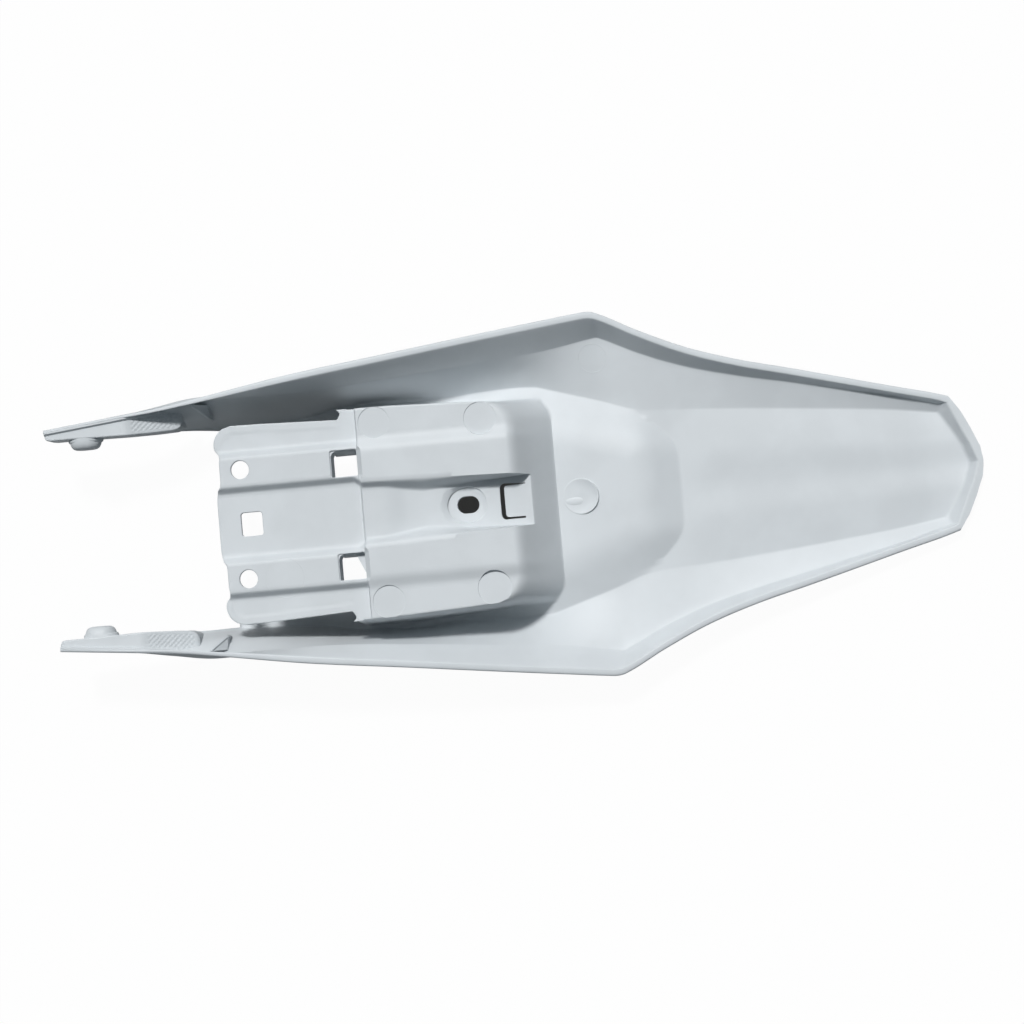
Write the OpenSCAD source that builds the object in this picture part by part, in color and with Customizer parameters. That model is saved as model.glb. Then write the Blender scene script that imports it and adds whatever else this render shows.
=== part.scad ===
// Rear fender of an off-road motorcycle, one moulding, lying on its top skin
// with its underside up. +X points to the tail, +Z up, and the plane Y = 0 is
// its plane of symmetry. Millimetres.

/* [Overall] */
// Length from the arm tips to the tail
fender_length = 711; // [640:1:780]
// Full width at the widest point of the rim
fender_width = 279; // [240:1:320]
// Thickness of the moulded skin
skin = 2.6; // [2:0.1:3.5]

/* [Rim and skirt] */
// Width of the flat lip that runs round the edge
lip_width = 4.5; // [3.5:0.1:6]
// Height of the returned skirt at the widest point
skirt_height = 20; // [14:0.5:26]

/* [Tray] */
// Height of the two tray ridges behind the step
tray_height = 66; // [58:0.5:72]
// Drop of the free front part of the tray below the rear part
step_drop = 3.4; // [2.5:0.1:5]
// Depth of the channels pressed between the tray ridges in front of the step
flute_depth = 6; // [3:0.5:9]
// Depth of the outer channels behind the step
rear_flute_depth = 3.6; // [2:0.2:6]
// Radius of the two round holes at the front of the tray
hole_radius = 7; // [5:0.1:8]
// Distance between the centres of the two round holes
hole_spacing = 83.6; // [76:0.2:90]
// Side of the two square holes at the step
step_hole = 20.5; // [16:0.5:22]
// Depth of the cheeks under the two square holes
cheek_depth = 34; // [8:1:34]
// Thickness of the cheeks and gussets
rib = 1.8; // [1.2:0.1:2.4]

/* [Centre pocket] */
// Height of the floor of the centre pocket at its rear end
pocket_height = 47.5; // [44:0.5:52]
// Radius of the washer seat round the oblong hole
seat_radius = 13.4; // [11:0.2:15]
// Width of the slope round the washer seat
seat_slope = 3.4; // [2:0.2:4]
// Width of the oblong hole
slot_width = 13; // [9:0.2:14]
// Length of the oblong hole
slot_length = 16.8; // [14:0.2:19]
// Width of the slit round the tongue behind the oblong hole
slit = 2.3; // [1.5:0.1:3]

/* [Plateau and tail] */
// Height of the plateau behind the tray above the floor round it
plateau_rise = 12; // [8:0.5:16]
// Width of the plateau's rounded shoulders
shoulder = 34; // [24:1:40]
// Height by which the two soft ridges of the tail floor stand up
tail_crown = 3.2; // [0:0.2:5]

/* [Arms] */
// Depth of the thickened bar on the inside of each arm
bar_depth = 21; // [18:1:24]
// Fall of the bar's top towards the tray, where the arm is gripped
bar_fall = 12; // [6:0.5:16]
// Length of the rounded foot of the pegs along the arm
peg_foot_length = 26; // [22:0.5:30]
// Height of the rounded foot of the pegs
peg_foot_height = 20; // [19:0.5:22]
// Thickness of the foot of the pegs
peg_foot = 4.6; // [2:0.2:5.4]
// Radius of the pegs
peg_radius = 9; // [6:0.5:9]
// Length of the pegs from the arm to their end
peg_length = 8.8; // [7.6:0.2:12]

/* [Hidden] */
$fn = 48;
kx = fender_length / 711;
ky = fender_width / 279;

// Where things lie along X, for a length of 711
tip_x = -355.4;
bar_end_x = -250;
bar_fall_x = -292;
peg_x = -326;
peg_foot_x = -323;
gusset_x = -240;
front_x = -226.5;
hole_x = -208.8;
square_x = -212;
ear_x = -131;
step_x = -118.7;
slot_x = -37.8;
slit_x = -12.5;
back_top_x = -4;
back_foot_x = 27;
plateau_end_x = 124;
floor_end_x = 318;

// Half widths of the arm's bar, the step's square holes and the slit, and
// heights of the bar's top and of the washer seat
bar_inner_y = 76;
bar_top_z = 74.2;
square_y = 39.3;
slit_y = 14;
slit_length = 20;
seat_z = pocket_height + 0.9;
seat_wall = 3.8;

// Half widths along X: edge of the lip, fold between skirt and side panel,
// fold between side panel and floor
edge_y = [[-355.4, 84.8], [-303, 90], [-272, 93], [-236, 98.3], [-166, 109.8], [-90, 119.6],
    [-13, 129.9], [25, 134.8], [58, 139], [65, 139.5], [72, 137.6], [101, 122.5], [139, 105.5],
    [177, 93.2], [215, 83.5], [253, 73.4], [291, 63.2], [322, 55.2], [333.3, 51.7]];
fold_y = [[-355.4, 83.6], [-303, 89.8], [-272, 93.2], [-236, 97.6], [-200, 97], [-166, 97], [-90, 102],
    [-13, 109.6], [25, 113.4], [69, 120.9], [101, 105.8], [139, 91.4], [177, 81.8], [215, 73.3],
    [253, 64.7], [291, 56.5], [322, 47.6], [327, 46.6]];
floor_y = [[-355.4, 79], [-250, 79], [-226.5, 78.5], [-166, 82], [-131, 88], [-90, 89.5], [-50, 87.5],
    [-2, 89.2], [17, 88.8], [30, 84.6], [70, 74], [99, 62.4], [139, 59.9], [177, 57], [215, 53.5],
    [253, 49.8], [291, 45.6], [325.5, 40.5]];

// Heights along X: lip, and floor or lower edge of the arms
lip_z = [[-355.4, 76], [-303, 76.5], [-236, 75.6], [-166, 72.6], [-90, 65.4], [-13, 54.5], [65, 42],
    [139, 32.8], [215, 24], [291, 16], [333, 12.4], [355, 11.6]];
floor_z = [[-355.4, 49], [-300, 42], [-262, 35], [-250, 27], [-238, 14], [-226.5, 2.6], [-166, 2.6],
    [-90, 4.4], [-13, 8.2], [30, 12], [65, 13.5], [101, 15.6], [139, 12.8], [215, 8.4], [291, 4.4],
    [325, 2.6], [360, 2.6]];
skirt_z = [[-355.4, 9], [-226, 14], [-166, 16], [-90, 18], [-13, 20], [65, 20], [101, 17], [139, 15],
    [177, 12], [215, 9.5], [291, 7], [327, 6]];

// Side wall of the tray box along X: its foot and its top edge
wall_foot_y = [[-133, 70], [-131, 84.8], [-90, 84.6], [-38, 82], [-13, 79.8], [29, 79]];
wall_top_y = [[-133, 74.7], [-131, 80.6], [-90, 80], [-38, 77.7], [-13, 76], [29, 75]];
// Inner edge of the ridges and foot of the pocket wall along X
ridge_y = [[-122, 29.7], [-116, 24.4], [8, 22.5]];
pocket_y = [[-122, 23.6], [-116, 19], [-101, 18.5], [-70, 13.3], [-36, 16.8], [8, 19]];
// Height of the pocket's floor above its rear end along X
pocket_rise = [[-108, 11.5], [-86, 6], [-74, 4], [-50, 2.5], [8, 0]];

// Plan of the tail end: X against the half width, for the lip's edge, its
// inner side and the end of the floor
tail_edge_x = [[0, 355.4], [3, 355.1], [11.4, 353.9], [18.3, 351], [26.3, 347.8], [39.2, 341.7],
    [51.7, 333.3]];
tail_lip_x = [[0, 351.4], [13.6, 346.6], [27.7, 340], [47.3, 331.6]];
tail_floor_x = [[0, 344.9], [3, 344.5], [14.7, 340.4], [28.3, 332.9], [40.5, 325.5], [47, 326.5]];

function mix(a, b, t) = a + (b - a) * t;
function ramp(a, b, v) = min(1, max(0, (v - a) / (b - a)));
function soft(a, b, v) = let (t = ramp(a, b, v)) t * t * (3 - 2 * t);
function unit(v) = let (n = norm(v)) n > 0 ? v / n : v;

// Height of the floor and plateau, without the tray box
function plateau_rear_x(y) = plateau_end_x - max(0, y - 32) * 0.743;
function eased(t, a) = t < 1 - 2 * a ? t / (1 - a) : 1 - pow(1 - t, 2) / (4 * a * (1 - a));
function base_z(x, y) =
    let (k = lookup(x, floor_y), u = min(1, y / k))
    let (side = eased(ramp(0, shoulder, k - y), 0.4))
    let (rear = eased(ramp(0, 30, plateau_rear_x(y) - x), 0.2), fore = soft(-40, 10, x))
    let (crown = tail_crown * soft(118, 156, x) * (1 - u * u) * mix(0.45, 1, soft(0, 0.5, u)))
    lookup(x, floor_z) + plateau_rise * min(side, rear) * fore + crown;

// Height of the tray at a point, flutes and pocket included
function flute(y, x) = soft(51, 57, y) + (1 - soft(lookup(x, pocket_y), lookup(x, ridge_y), y));
function tray_z(x, y) = x < step_x
    ? tray_height - step_drop - flute_depth * flute(y, x)
    : let (outer = tray_height - rear_flute_depth * soft(51, 57, y))
      let (drop = 1 - soft(lookup(x, pocket_y), lookup(x, ridge_y), y))
      let (low = pocket_height + lookup(x, pocket_rise))
      mix(outer, min(outer, low), drop);

// Height of the whole middle part: the tray box stands on the floor
function box_foot_x(y) = back_foot_x - (y < 62 ? 0 : 18 - sqrt(max(0, 324 - pow(min(y, 80) - 62, 2))));
function middle_z(x, y) =
    let (base = base_z(x, y), foot = lookup(x, wall_foot_y), top = lookup(x, wall_top_y))
    let (side = ramp(0, foot - top, foot - y))
    let (back = eased(ramp(0, back_foot_x - back_top_x, box_foot_x(y) - x), 0.14))
    let (shell_top = mix(base, tray_height - rear_flute_depth * soft(51, 57, y), min(side, back)))
    let (in_pocket = y < lookup(x, ridge_y) && x > step_x)
    in_pocket ? min(shell_top, max(base, tray_z(x, y)))
        : x < back_top_x ? mix(base, tray_z(x, y), min(side, back)) : shell_top;

// Section lines, from the middle to the edge of the lip: index 0 to 14
tail_share = [0, 0.12, 0.25, 0.34, 0.46, 0.58, 0.67, 0.76, 0.85, 0.93];
function line_y(x, k) =
    k == 14 ? lookup(x, edge_y)
    : k == 13 ? lookup(x, edge_y) - mix(3.3, lip_width, soft(-260, -180, x))
    : k == 12 ? lookup(x, fold_y)
    : k == 11 ? mix(lookup(x, floor_y), lookup(x, fold_y), mix(0.36, 0.5, soft(-60, 60, x)))
    : k == 10 ? lookup(x, floor_y)
    : let (a = [0, 10, lookup(x, pocket_y), lookup(x, ridge_y), 40, 51, 57, 66,
          lookup(x, wall_top_y), lookup(x, wall_foot_y)][k])
      mix(a, tail_share[k] * lookup(x, floor_y), soft(26, 62, x));
function line_z(x, y, k) =
    let (lip = lookup(x, lip_z), skirt = lookup(x, skirt_z) * skirt_height / 20)
    k == 14 ? lip - 0.4
    : k == 13 ? lip
    : k == 12 ? lip - skirt
    : k == 11 ? mix(lookup(x, floor_z), lip - skirt, mix(0.62, 0.5, soft(-60, 60, x)))
    : k == 10 ? lookup(x, floor_z)
    : x < ear_x ? (k == 9 ? lookup(x, floor_z) : tray_z(x, y))
    : middle_z(x, y);

// Stations along X, closer together where the form turns quickly
function steps(a, b, n) = [for (i = [0 : n - 1]) mix(a, b, i / n)];
stations = concat(steps(tip_x, -262, 6), steps(-262, front_x, 4), [front_x, -221, -214],
    steps(-205, -145, 4), [-145, ear_x - 2, ear_x, -119.4, -118], steps(-110, -60, 6),
    steps(-60, -15, 4), steps(-15, 35, 10), steps(35, 58, 2), [58, 65, 72], steps(80, 130, 8),
    steps(130, 190, 4), steps(190, floor_end_x, 6), [floor_end_x]);
body_rows = len(stations);
rows = body_rows + 3;
cols = 29;

// Front edge of the tray's free part, for each section line
front_shift = [-1.2, -1.2, -0.6, 3.6, 3.8, 4.4, 0.6, 1.4, 5.5];
function body_point(x, k) =
    let (y = line_y(x, k))
    let (bow = k > 8 ? 0 : x == front_x ? front_shift[k] : x == -221 ? (k == 8 ? 5 : 2)
        : x == -214 && k == 8 ? 2.5 : 0)
    let (nip = k == 8 ? (x == front_x ? -3.4 : x == -221 ? -0.7 : 0) : 0)
    [x + bow, y + nip, line_z(x, y, k)];

// The three rows round the tail end: floor end, inner side of the lip, edge
function tail_point(row, k) =
    let (y = k < 11 ? line_y(325.5, k) : [43, 46, 47.3, 51.7][k - 11])
    row == 0 ? (k < 11 ? [lookup(y, tail_floor_x), y, base_z(lookup(y, tail_floor_x), y * 0.999)]
        : let (w = line_y(326.5, k)) [326.5, w, line_z(326.5, w, k)])
    : row == 1 ? (k < 14 ? [lookup(y, tail_lip_x), y, lookup(340, lip_z)]
        : [331.4, 52.3, lookup(332, lip_z) - 0.3])
    : let (w = k == 13 ? 49 : y) [lookup(w, tail_edge_x), w, lookup(345, lip_z) - 0.4];

function side_point(r, c) =
    let (k = abs(c - 14), s = c < 14 ? -1 : 1)
    let (p = r < body_rows ? body_point(stations[r], k) : tail_point(r - body_rows, k))
    [p[0] * kx, s * p[1] * ky, p[2]];
grid = [for (r = [0 : rows - 1]) [for (c = [0 : cols - 1]) side_point(r, c)]];

// Which cells of the grid carry skin: cell c lies between lines c and c + 1
function cell_line(c) = c < 14 ? 14 - c : c - 13;
function has_skin(r, c) = r < 0 || c < 0 || r > rows - 2 || c > cols - 2 ? false
    : let (k = cell_line(c), x = r < body_rows ? stations[r] : floor_end_x)
      k > 10 ? true : k == 10 ? x >= front_x : k == 9 ? x >= ear_x : x >= front_x;
function cell_normal(r, c) = has_skin(r, c)
    ? unit(cross(grid[r + 1][c] - grid[r][c + 1] + grid[r + 1][c + 1] - grid[r][c],
        grid[r][c + 1] - grid[r + 1][c] + grid[r + 1][c + 1] - grid[r][c]))
    : [0, 0, 0];
normals = [for (r = [0 : rows - 2]) [for (c = [0 : cols - 2]) cell_normal(r, c)]];
function normal_at(r, c) = r < 0 || c < 0 || r > rows - 2 || c > cols - 2 ? [0, 0, 0] : normals[r][c];
function point_normal(r, c) = unit(normal_at(r - 1, c - 1) + normal_at(r - 1, c)
    + normal_at(r, c - 1) + normal_at(r, c));

// Closed skin: the underside as drawn, the top skin one thickness below it,
// and a band along every free edge
function at(r, c) = r * cols + c;
function four(a, b, c, d, swap) = swap ? [[a, b, c], [a, c, d]] : [[b, c, d], [b, d, a]];
module moulded_skin() {
    count = rows * cols;
    upper = [for (r = [0 : rows - 1]) for (c = [0 : cols - 1]) grid[r][c]];
    lower = [for (r = [0 : rows - 1]) for (c = [0 : cols - 1])
        grid[r][c] - skin * point_normal(r, c)];
    faces = [for (r = [0 : rows - 2]) for (c = [0 : cols - 2]) if (has_skin(r, c))
        let (a = at(r, c), b = at(r, c + 1), d = at(r + 1, c), e = at(r + 1, c + 1), s = c < 14)
        each concat(
            four(a, b, e, d, s),
            four(a + count, d + count, e + count, b + count, !s),
            has_skin(r - 1, c) ? [] : four(b, a, a + count, b + count, s),
            has_skin(r + 1, c) ? [] : four(d, e, e + count, d + count, s),
            has_skin(r, c - 1) ? [] : four(a, d, d + count, a + count, s),
            has_skin(r, c + 1) ? [] : four(e, b, b + count, e + count, s))];
    polyhedron(concat(upper, lower), faces, 10);
}

module both_sides() {
    children();
    mirror([0, 1, 0]) children();
}

// Thickened bar on the inside of an arm: its plan, cut to its side view,
// whose top is level at the tip and falls towards the tray
module arm_bar() {
    inner = [[tip_x, 4.4], [-353.6, 2.4], [-349, 1.2], [-336, 0.4], [-312, -0.4], [-292, -0.8],
        [-272, 0], [-257, 1.2], [-252.4, 2.6], [bar_end_x, 5.4]];
    outer = [[bar_end_x, 95.6], [-272, 91], [-303, 87.8], [tip_x, 82.6]];
    side = [[tip_x - 1, 0], [bar_fall_x, 0], [bar_end_x + 1, -bar_fall],
        [bar_end_x + 1, -bar_fall - bar_depth], [bar_fall_x, -bar_depth], [tip_x - 1, -bar_depth]];
    intersection() {
        translate([0, 0, bar_top_z - bar_fall - bar_depth - 1])
            linear_extrude(bar_fall + bar_depth + 2)
                polygon(concat([for (p = inner) [p[0] * kx, (bar_inner_y + p[1]) * ky]],
                    [for (p = outer) [p[0] * kx, p[1] * ky]]));
        translate([0, 100 * ky, bar_top_z]) rotate([90, 0, 0]) linear_extrude(40 * ky)
            polygon([for (p = side) [p[0] * kx, p[1]]]);
    }
}

// Peg on the bar, pointing to the other arm, on a foot with round ends
module peg() {
    half = (peg_foot_length - peg_foot_height) / 2;
    root = 3;
    translate([0, bar_inner_y * ky + root, bar_top_z - bar_depth / 2]) rotate([90, 0, 0]) {
        for (s = [-1, 1]) translate([peg_foot_x * kx + s * half, 0, 0])
            cylinder(h = root + peg_foot, r = peg_foot_height / 2);
        translate([peg_foot_x * kx - half, -peg_foot_height / 2, 0])
            cube([2 * half, peg_foot_height, root + peg_foot]);
        translate([peg_x * kx, 0, 0]) cylinder(h = root + peg_length, r = peg_radius);
    }
}

// Gusset between the arm and the front end of the side channel, lower at its
// inner end
module gusset() {
    translate([(gusset_x - 1) * kx, 94 * ky, 0]) rotate([90, 0, -46])
        linear_extrude(rib, center = true) polygon([[0, 34], [0, 72], [2.4, 71.4], [15.5, 52], [15.5, 16]]);
}

// Forward horn of the tray box's side wall, beside the tray's free part
module ear() {
    top = tray_height - step_drop - flute_depth;
    plan = [[-138.4, 81.1], [-134.6, 79.4], [-131.6, 77], [-129.8, 74], [-124, 74], [-124, 81]];
    translate([0, 0, top - 7]) linear_extrude(7)
        polygon([for (p = plan) [p[0] * kx, p[1] * ky]]);
}

// Cheeks beside a square hole and the wall behind it, under the tray
module cheeks() {
    top = tray_height - step_drop - skin / 2;
    low = tray_height - step_drop - cheek_depth;
    gap = step_hole - 1.6;
    x = (step_x - 0.8) * kx;
    for (s = [-1, 1])
        translate([x - step_hole + 1, square_y * ky + s * (gap + rib) / 2 - rib / 2, low])
            cube([step_hole + rib - 1, rib, top - low]);
    translate([x, square_y * ky - gap / 2 - rib, low]) cube([rib, gap + 2 * rib, top - low]);
}

module step_opening() {
    translate([(step_x - 0.8) * kx - step_hole, square_y * ky - step_hole / 2,
        tray_height - step_drop - skin - 1.4])
        cube([step_hole, step_hole, 20]);
}

// Openings of the tray and pocket
module openings() {
    tray_low = tray_height - step_drop - flute_depth - 12;
    for (s = [-1, 1])
        translate([hole_x * kx, s * hole_spacing / 2, tray_low]) cylinder(h = 40, r = hole_radius);
    translate([square_x * kx, -9, tray_low]) cube([16.4, 18, 40]);
    both_sides() step_opening();
    translate([slot_x * kx, 0, seat_z])
        cylinder(h = 8, r1 = seat_radius, r2 = seat_radius + seat_slope * 8 / 3);
    for (s = [-1, 1])
        translate([slot_x * kx + s * (slot_length - slot_width) / 2, 0, seat_z - 16])
            cylinder(h = 30, r = slot_width / 2);
    translate([slot_x * kx - (slot_length - slot_width) / 2, -slot_width / 2, seat_z - 16])
        cube([slot_length - slot_width, slot_width, 30]);
    translate([slit_x * kx, -slit_y, pocket_height - 9]) cube([slit, 2 * slit_y, 16]);
    for (s = [-1, 1])
        translate([slit_x * kx, s * (slit_y - slit / 2) - slit / 2, pocket_height - 9])
            cube([slit_length, slit, 16]);
}

module rear_fender() color([0.82, 0.84, 0.85]) difference() {
    union() {
        moulded_skin();
        both_sides() {
            arm_bar();
            peg();
            gusset();
            ear();
            cheeks();
        }
        translate([slot_x * kx, 0, seat_z - seat_wall])
            cylinder(h = seat_wall + 0.6, r = seat_radius + 2.4);
    }
    openings();
}

rear_fender();
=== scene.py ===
"""Rear fender of an off-road motorcycle: one white moulding seen from its underside.

The frame is the CAD fender, in metres, +X to the tail, +Z out of the underside, and the plane Y = 0
its plane of symmetry. The skin is worked out again here on a finer grid, with rounded folds. The tables
and sizes below are in millimetres, unless their comment says otherwise.
"""

import math

import bpy
import numpy as np
from bpy.props import FloatProperty, FloatVectorProperty, PointerProperty
from mathutils import Matrix, Vector


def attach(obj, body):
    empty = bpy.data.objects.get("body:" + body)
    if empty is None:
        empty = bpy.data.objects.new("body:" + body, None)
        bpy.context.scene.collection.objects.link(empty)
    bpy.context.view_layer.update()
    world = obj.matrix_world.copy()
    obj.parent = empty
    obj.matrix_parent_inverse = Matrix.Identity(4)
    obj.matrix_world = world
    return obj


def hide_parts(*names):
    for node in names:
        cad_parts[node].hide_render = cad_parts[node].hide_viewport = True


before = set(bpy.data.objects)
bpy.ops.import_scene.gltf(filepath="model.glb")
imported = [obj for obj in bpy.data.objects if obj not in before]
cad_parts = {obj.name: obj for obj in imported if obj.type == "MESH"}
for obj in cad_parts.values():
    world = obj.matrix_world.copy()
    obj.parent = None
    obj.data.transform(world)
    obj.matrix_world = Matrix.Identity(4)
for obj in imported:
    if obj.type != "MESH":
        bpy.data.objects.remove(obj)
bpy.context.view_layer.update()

bl_info = {
    "name": "Motorcycle Rear Fender",
    "version": (1, 0, 0),
    "blender": (4, 5, 0),
    "location": "View3D > Sidebar > Fender",
    "description": "Builds a moulded rear fender with its tray, pocket, arms and pegs",
    "category": "Object",
}

MM = 0.001
# Edges that turn by more than this many degrees are shaded sharp.
SHARP = 38

# Half widths against X: edge of the lip, fold between skirt and side panel, fold between side panel and
# floor.
EDGE_Y = [(-355.4, 84.8), (-303, 90), (-272, 93), (-236, 98.3), (-166, 109.8), (-90, 119.6),
          (-13, 129.9), (25, 134.8), (56, 138.7), (63, 139.4), (67, 139.1), (73, 137), (101, 122.5),
          (139, 105.5), (177, 93.2), (215, 83.5), (253, 73.4), (291, 63.2), (322, 55.2), (333.3, 51.7)]
FOLD_Y = [(-355.4, 81.8), (-320, 85), (-292, 89), (-272, 92.6), (-236, 97.6), (-200, 97), (-166, 97),
          (-90, 102), (-13, 109.6), (25, 113.4), (64, 120.2), (69, 120.9), (74, 119), (101, 105.8),
          (139, 91.4), (177, 81.8), (215, 73.3), (253, 64.7), (291, 56.5), (322, 47.6), (327, 46.6)]
FLOOR_Y = [(-355.4, 81.4), (-352, 79.6), (-346, 79), (-250, 79), (-226.5, 78.5), (-166, 82), (-131, 88),
           (-90, 89.5), (-50, 87.5), (-2, 89.2), (17, 88.2), (30, 84.4), (64, 73.7), (99, 62.7),
           (139, 59.9), (177, 57), (215, 53.5), (253, 49.8), (291, 45.6), (325.5, 40.5)]

# Heights against X: lip, floor or lower edge of the arms, and height of the returned skirt.
LIP_Z = [(-355.4, 76), (-303, 76.5), (-236, 75.6), (-166, 72.6), (-90, 65.4), (-13, 54.5), (65, 42),
         (139, 32.8), (215, 24), (291, 16), (333, 12.4), (355, 11.6)]
FLOOR_Z = [(-355.4, 49), (-300, 42), (-262, 35), (-250, 27), (-238, 14), (-226.5, 2.6), (-166, 2.6),
           (-90, 4.4), (-13, 8.2), (30, 12), (65, 13.5), (101, 15.6), (139, 12.8), (215, 8.4),
           (291, 4.4), (325, 2.6), (360, 2.6)]
SKIRT_Z = [(-355.4, 9), (-226, 14), (-166, 16), (-90, 18), (-13, 20), (65, 20), (101, 17), (139, 15),
           (177, 12), (215, 9.5), (291, 7), (327, 6)]

# Side wall of the tray box, ridge and pocket against X, and how far the front edge of the tray lies
# behind its foremost line, against half width.
WALL_FOOT_Y = [(-131, 70), (-129, 84.8), (-90, 84.6), (-38, 82), (-13, 79.8), (29, 79)]
WALL_TOP_Y = [(-229, 76.6), (-193, 76), (-163, 74.7), (-138, 73.6), (-131, 73.2), (-129, 80.6),
              (-90, 80), (-38, 77.7), (-13, 76), (29, 75)]
RIDGE_Y = [(-122, 29.7), (-116, 24.4), (-90, 23.7), (-40, 21.8), (0, 20.4), (8, 20.2)]
POCKET_Y = [(-122, 23.6), (-116, 19), (-101, 18.5), (-70, 13.3), (-36, 16.8), (8, 19)]
POCKET_Z = [(-104, 59.6), (-98, 58.8), (-84, 55.4), (-74, 54.4), (-58, 53.4), (-40, 50.8), (-24, 49.2),
            (8, 48)]
FRONT_BOW = [(0, -0.6), (18, -0.6), (23, -0.2), (27, 1.2), (30, 3.8), (33, 4.2), (48, 4.2), (51.5, 4.8),
             (54.5, 3.8), (57.5, 0.9), (61, 0)]

# Plan of the tail end, as X against half width: edge of the lip, its inner side, end of the floor. Then
# the heights of the lip's inner side and edge there, and the corner where the sides meet the end: X of the
# floor's and of the folds' last points, half width of the outer section lines, and two of the lip's points.
TAIL_EDGE_X = [(0, 355.4), (3, 355.1), (11.4, 353.9), (18.3, 351), (26.3, 347.8), (39.2, 341.7),
               (51.7, 333.3)]
TAIL_LIP_X = [(0, 351.4), (13.6, 346.6), (27.7, 340), (47.3, 331.6)]
TAIL_FLOOR_X = [(0, 344.9), (3, 344.5), (14.7, 340.4), (28.3, 332.9), (40.5, 325.5), (47, 326.5)]
TAIL_LIP_Z, TAIL_EDGE_Z = 12.1, 11.6
CORNER_FLOOR_X, CORNER_FOLD_X = 325.5, 326.5
CORNER_Y = {11: 43.0, 12: 46.0, 13: 47.3, 14: 51.7}
CORNER_INNER, CORNER_LIP_Y = (331.4, 52.3, 12.2), 49.0

# Stations along X: tips of the arms, front edge, ears and step of the tray, top and foot of its rear
# wall, rear edge of the plateau, last station before the tail end, and where the arms join the body.
TIP_X, FRONT_X, EAR_X, STEP_X = -355.4, -228.9, -129.0, -117.6
BACK_TOP_X, BACK_FOOT_X, PLATEAU_END_X, FLOOR_END_X = -4.0, 28.6, 124.0, 318.0
ARM_JOIN_X = (-215, -150)

# Skin, and the tray: height of its top, drop at the step, depths of the flutes before and behind the step,
# and between which half widths they begin.
SKIN = 2.6
TRAY_Z, STEP_DROP, FLUTE, REAR_FLUTE = 66.0, 3.4, 6.0, 3.2
FLUTE_Y, REAR_FLUTE_Y = (51, 57), (47, 59)
# Free part of the tray: half width, radius of its corners and edges, height and width of the low rim of
# its outer flutes, and how far down the points hang that its side folds turn towards.
TONGUE_Y, CORNER, EDGE_R = 76.6, 15.0, 1.0
RIM, RIM_WIDTH, HANG = 0.25, 6.0, 12.0
# Half length of the slope at the step, and how far before the step the rim begins to fade and ends.
STEP_RUN, RIM_FADE = 0.9, (16, 12)
# Corners of the box's rear wall, at its top and foot: radius, half width of the arc's centre, and how far
# past the centre the arc goes.
TOP_CORNER, FOOT_CORNER = (22, 54.5, 21.5), (20, 61, 18.6)
# Plateau: rise, width of its side and rear shoulders, half width where its rear edge begins to bend,
# width of the bend, and slant past it. Then the height of the tail floor's crown, and between which X
# the plateau, the crown and the shares of the tail's section lines set in.
PLATEAU_RISE, SHOULDER, REAR_SHOULDER = 10.0, 44.0, 42.0
BEND_Y, BEND, SLANT = 24.0, 16.0, 0.743
TAIL_CROWN, PLATEAU_X, CROWN_X, TAIL_X = 2.3, (-40, 10), (118, 156), (26, 62)
# Width of the lip at the arms and at the body, and where it changes. Then the fold across the side panel
# there: its share of the way from the floor out to the outer fold, and of the way up.
LIP_WIDTH, LIP_X = (2.6, 5.2), (-300, -160)
PANEL_FOLD_Y, PANEL_FOLD_Z = (0.36, 0.5), (0.62, 0.43)
# Thickness of the skin as a share, first at a free edge and then where its round ends: sides and front of
# the free tray, and its corner.
SIDE_THIN, FRONT_THIN, CORNER_THIN = (0.4, 0.9), (0.4, 0.85), 0.12

# Shallow round recesses that the mould's pins leave in the tray's outer flutes: X, Y and radius at height
# PIN_Z. Then their depth below the flute, and the share by which they widen per millimetre of height.
PIN_DISCS = ((-103.2, 68.3, 12.0), (-102.8, -68.3, 12.3), (-22.3, 64.2, 12.2), (-21.6, -64.8, 12.8))
PIN_Z, PIN_DEPTH, PIN_FLARE = 62, 0.65, 0.02

# Holes: how far a cutter reaches above the surface and down to which height, the round holes, the square
# hole at the front, and the square holes at the step with their depth and their rear and front edges.
ABOVE, HOLE_LOW, SLOT_LOW = 6.0, 40, 30
ROUND_HOLE = (-208.8, 41.8)
FRONT_HOLE_X, FRONT_HOLE, FRONT_HOLE_R = -203.8, (8.2, 9), 2.2
STEP_HOLE_X, STEP_HOLE, STEP_HOLE_R, STEP_HOLE_DEPTH, SQUARE_Y = STEP_X - 11.05, 10.25, 1.6, 4, 39.3
HOLE_REAR_X, HOLE_FRONT_X = STEP_X - 0.8, STEP_X - 21.3
# Slot and washer seat: place, half length and half width of the slot, height, flare and greatest half
# width of the seat's cone, wall and height of its boss, and how far its top lies under the seat.
SLOT_X, SLOT_HALF, SEAT_Z, SEAT_FLARE, SEAT_Y = -37.8, (8.4, 6.5), 48.4, 1.3, 15.9
BOSS_WALL, BOSS, BOSS_GAP = 2.4, 3.8, 0.02
# Slit: X and half width of its U-shaped path, corner radius, X of its two ends, its half width along the
# sides and across as shares of the slit, and between which heights it is cut.
SLIT_X, SLIT_Y, SLIT_R, SLIT_ENDS = -11.3, 12.85, 3.2, (7.0, 5.2)
SLIT_SHARES, SLIT_Z = (0.34, 0.75), (36, 56)

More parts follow.
